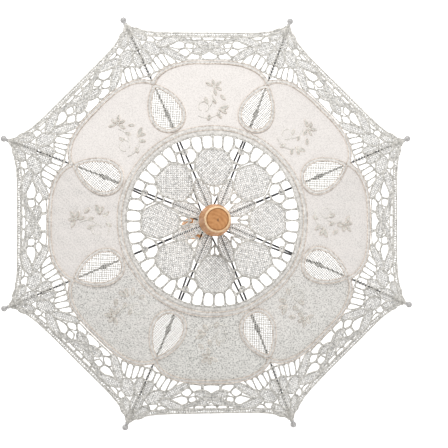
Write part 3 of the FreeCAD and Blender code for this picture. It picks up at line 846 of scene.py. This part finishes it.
MATERIALS = {
    "thread": thread_material("lace_thread", (0.51, 0.50, 0.48), (0.97, 0.95, 0.91)),
    "cord": thread_material("lace_cord", (0.43, 0.415, 0.38), (0.81, 0.785, 0.735)),
    "core": thread_material("tape_core", (0.70, 0.67, 0.63), (0.98, 0.955, 0.92)),
    "edge": thread_material("tape_edge", (0.56, 0.47, 0.395), (0.97, 0.87, 0.775)),
    "cotton": cotton_material(),
    "embroidery": thread_material("embroidery_thread", (0.70, 0.68, 0.62), (0.98, 0.96, 0.90), 0.3),
}


def dress_cad_nodes():
    """Finishes for the CAD parts that stay in view."""
    finishes = {
        "shaft": wood_material("shaft_wood", (0.50, 0.29, 0.14), (0.80, 0.55, 0.31)),
        "handle": wood_material("handle_wood", (0.42, 0.18, 0.065), (0.70, 0.37, 0.16)),
        "top_cap": wood_material("cap_wood", (0.44, 0.19, 0.07), (0.66, 0.335, 0.14), True),
        "crown": plastic_material("crown_plastic", (0.16, 0.155, 0.15), (0.22, 0.215, 0.21)),
        "runner": plastic_material("runner_plastic", (0.66, 0.65, 0.62), (0.78, 0.77, 0.74)),
        "crown_washer": MATERIALS["core"],
        "wire": metal_material("bright_wire", (0.42, 0.42, 0.43), (0.66, 0.66, 0.67), 0.35),
        "frame": metal_material(
            "dark_frame",
            (0.025, 0.025, 0.028),
            (0.08, 0.08, 0.085),
            0.5,
            metallic=0.4,
            # painted light: lighter colour far from the shaft
            painted_light_far_out=(0.17, 0.17, 0.175),
        ),
        "rib_tip": metal_material("tip_metal", (0.40, 0.39, 0.385), (0.60, 0.59, 0.58), 0.5, 0.2),
    }
    for name, node in frame["nodes"].items():
        base = name.rstrip("_12345678")
        if base in ("rib", "rib_joint", "stretcher"):
            finish = finishes["frame"]
        else:
            finish = finishes.get(base, finishes["wire"])
        node.data.materials.clear()
        node.data.materials.append(finish)


# ---------------------------------------------------------------- canopy pieces
def half_warp(rng):
    """A small hand-made unevenness that dies out at both sides of the half gore."""
    waves = [
        (rng.uniform(0.03, 0.09), rng.uniform(0, 6.3), rng.uniform(-0.45, 0.45)) for _ in range(4)
    ]

    def warp(flat):
        along, across = flat.T
        share = np.clip(across / np.maximum(along * math.tan(HALF), 1e-6), 0, 1)
        fade = np.sin(np.pi * share)
        moves = [size * np.sin(pace * along + phase) for pace, phase, size in waves]
        return np.stack([fade * (moves[0] + moves[1]), fade * (moves[2] + moves[3])], -1)

    return warp


def cloth_swell(rng, side):
    """Slack and small puckers in the cotton, the same on both sides of the gore's middle."""
    phases = [rng.uniform(0, 6.3) for _ in range(3)]

    def swell(flat):
        along, across = flat[:, 0], flat[:, 1] * side
        wide = 0.30 * np.sin(along * 0.11 + across * 0.07 + phases[0])
        fine = 0.10 * np.sin(along * 0.34 - across * 0.29 + phases[1])
        return wide + fine + 0.10 * np.sin(across * 0.45 + phases[2]) - 0.25

    return swell


def fold_away(piece):
    """Gives the half gore its own copy of its mesh."""
    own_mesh(piece)


def make_canopy():
    """Two halves of lace and two of cotton on each rib."""
    for rib in range(1, RIBS + 1):
        body = f"rib_{rib}"
        for side, word in ((1, "left"), (-1, "right")):
            # The half gore beside this rib: its middle lies half a sector away, on that side.
            gore = rib if side > 0 else (rib - 2) % RIBS + 1
            azimuth = rib_azimuth(rib) + side * HALF
            mirrored = side > 0
            gore_rng = random.Random(f"gore {gore}")
            rng = random.Random(f"{rib} {word}")
            warp = half_warp(rng)
            lace = Work(["thread", "cord", "core", "edge"])
            half = 1 if mirrored else -1
            centre_lace(lace, rng, random.Random(f"shell {gore}"), half, CELL_PHASE * gore)
            ring_tapes(lace)
            net_eye(lace, rng, half)
            lace.tape(edge_path(), TAPE, "core", "edge", 0.35)
            border_lace(lace, rng, CELL_PHASE * gore)
            hem(lace)
            piece = lace.mesh(f"lace_{rib}_{word}", warp, mirrored, azimuth, MATERIALS)
            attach(piece, body)
            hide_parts(f"lace_panel_{rib}")
            fold_away(piece)
            cotton = Work(["cotton", "embroidery", "edge"])
            cotton_sheet(cotton, cloth_swell(gore_rng, half))
            embroidery(cotton, rng, half)
            piece = cotton.mesh(f"cotton_{rib}_{word}", warp, mirrored, azimuth, MATERIALS)
            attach(piece, body)
            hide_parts(f"cotton_band_{rib}")
            fold_away(piece)


def rib_place(radius, beside, above):
    """A place over the rib at +X: distance from the shaft, sideways, and off its centre line."""
    slope = math.asin((radius - BEND_X) / BEND_R)
    reach = BEND_R + above
    return (BEND_X + reach * math.sin(slope), beside, BEND_Z + reach * math.cos(slope))


def winding(start, turns, pitch):
    """Sewing thread wound round the rib and the lace on it, as points of a helix."""
    points = []
    for angle in np.linspace(0, 2 * math.pi * turns, STITCH_STEPS * turns + 1):
        along = start + pitch * angle / (2 * math.pi)
        above = STITCH_CENTRE + STITCH_HALF_HEIGHT * math.sin(angle)
        points.append(rib_place(along, STITCH_HALF_WIDTH * math.cos(angle), above))
    return points


def make_stitching():
    """Threads that sew the cover to each rib, with a close whipping next to the end bead."""
    for rib in range(1, RIBS + 1):
        curve = bpy.data.curves.new(f"stitching_{rib}", "CURVE")
        curve.dimensions = "3D"
        curve.bevel_depth = STITCH_R * MM
        curve.bevel_resolution = 2
        for start, turns, pitch in ((134.0, 15, 3.1), (181.5, 12, 0.8)):
            points = turn(np.array(winding(start, turns, pitch)), rib_azimuth(rib)) * MM
            spline = curve.splines.new("POLY")
            spline.points.add(len(points) - 1)
            spline.points.foreach_set("co", np.column_stack([points, np.ones(len(points))]).ravel())
        curve.materials.append(MATERIALS["cord"])
        piece = bpy.data.objects.new(f"stitching_{rib}", curve)
        bpy.context.scene.collection.objects.link(piece)
        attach(piece, f"rib_{rib}")


# ---------------------------------------------------------------- stage
def make_floor():
    mesh = bpy.data.meshes.new("floor")
    reach = 6.0
    corners = [(-reach, -reach, 0), (reach, -reach, 0), (reach, reach, 0), (-reach, reach, 0)]
    mesh.from_pydata([(x, y, -0.0005) for x, y, _ in corners], [], [(0, 1, 2, 3)])
    floor = bpy.data.objects.new("floor", mesh)
    bpy.context.scene.collection.objects.link(floor)
    made, tree, shader, place = material("floor_paper", 0.95)
    clouds = noise(tree, place, 3, 1)
    colour = ramp(tree, clouds, (0.3, (0.92, 0.92, 0.92)), (0.7, (0.96, 0.96, 0.96)))
    tree.links.new(colour, shader.inputs["Base Color"])
    shader.inputs["Emission Color"].default_value = (1, 1, 1, 1)
    shader.inputs["Emission Strength"].default_value = 0.75
    mesh.materials.append(made)


def make_world():
    """White behind the object, softer as a light."""
    world = bpy.data.worlds.new("studio")
    bpy.context.scene.world = world
    world.use_nodes = True
    tree = world.node_tree
    background = tree.nodes["Background"]
    path = tree.nodes.new("ShaderNodeLightPath")
    strength = tree.nodes.new("ShaderNodeMapRange")
    strength.inputs["To Min"].default_value = 0.42
    strength.inputs["To Max"].default_value = 1.0
    tree.links.new(path.outputs["Is Camera Ray"], strength.inputs["Value"])
    tree.links.new(strength.outputs["Result"], background.inputs["Strength"])
    background.inputs["Color"].default_value = (1, 1, 1, 1)


def add_light(name, place, target, size, power):
    lamp = bpy.data.lights.new(name, "AREA")
    lamp.shape = "DISK"
    lamp.size = size
    lamp.energy = power
    light = bpy.data.objects.new(name, lamp)
    light.location = place
    light.rotation_euler = (Vector(target) - Vector(place)).to_track_quat("-Z", "Y").to_euler()
    bpy.context.scene.collection.objects.link(light)


def make_camera():
    """High over the crown, leaning a few degrees, with a long lens."""
    distance = 1.1
    lean_back, lean_side, roll = math.radians(-1.5), math.radians(4.3), math.radians(0.382)
    to_view = (
        Matrix.Rotation(lean_back, 4, "X")
        @ Matrix.Rotation(lean_side, 4, "Y")
        @ Matrix.Rotation(roll, 4, "Z")
    )
    lens = bpy.data.cameras.new("camera")
    lens.lens = 103.4
    lens.sensor_width = 36
    lens.shift_x = 0.0212
    lens.shift_y = -0.0080
    lens.clip_end = 50
    camera = bpy.data.objects.new("camera", lens)
    crown = Matrix.Translation((0, 0, PIVOT.z * MM))
    camera.matrix_world = crown @ to_view.inverted() @ Matrix.Translation((0, 0, distance))
    bpy.context.scene.collection.objects.link(camera)
    bpy.context.scene.camera = camera


dress_cad_nodes()
make_canopy()
make_stitching()
make_floor()
make_world()
add_light("key", (-0.2, 1.2, 1.7), (0, 0, 0.3), 1.0, 23)
add_light("fill", (0.7, -1.3, 1.3), (0, 0, 0.3), 1.6, 9)
make_camera()
bpy.context.scene.view_settings.view_transform = "Standard"
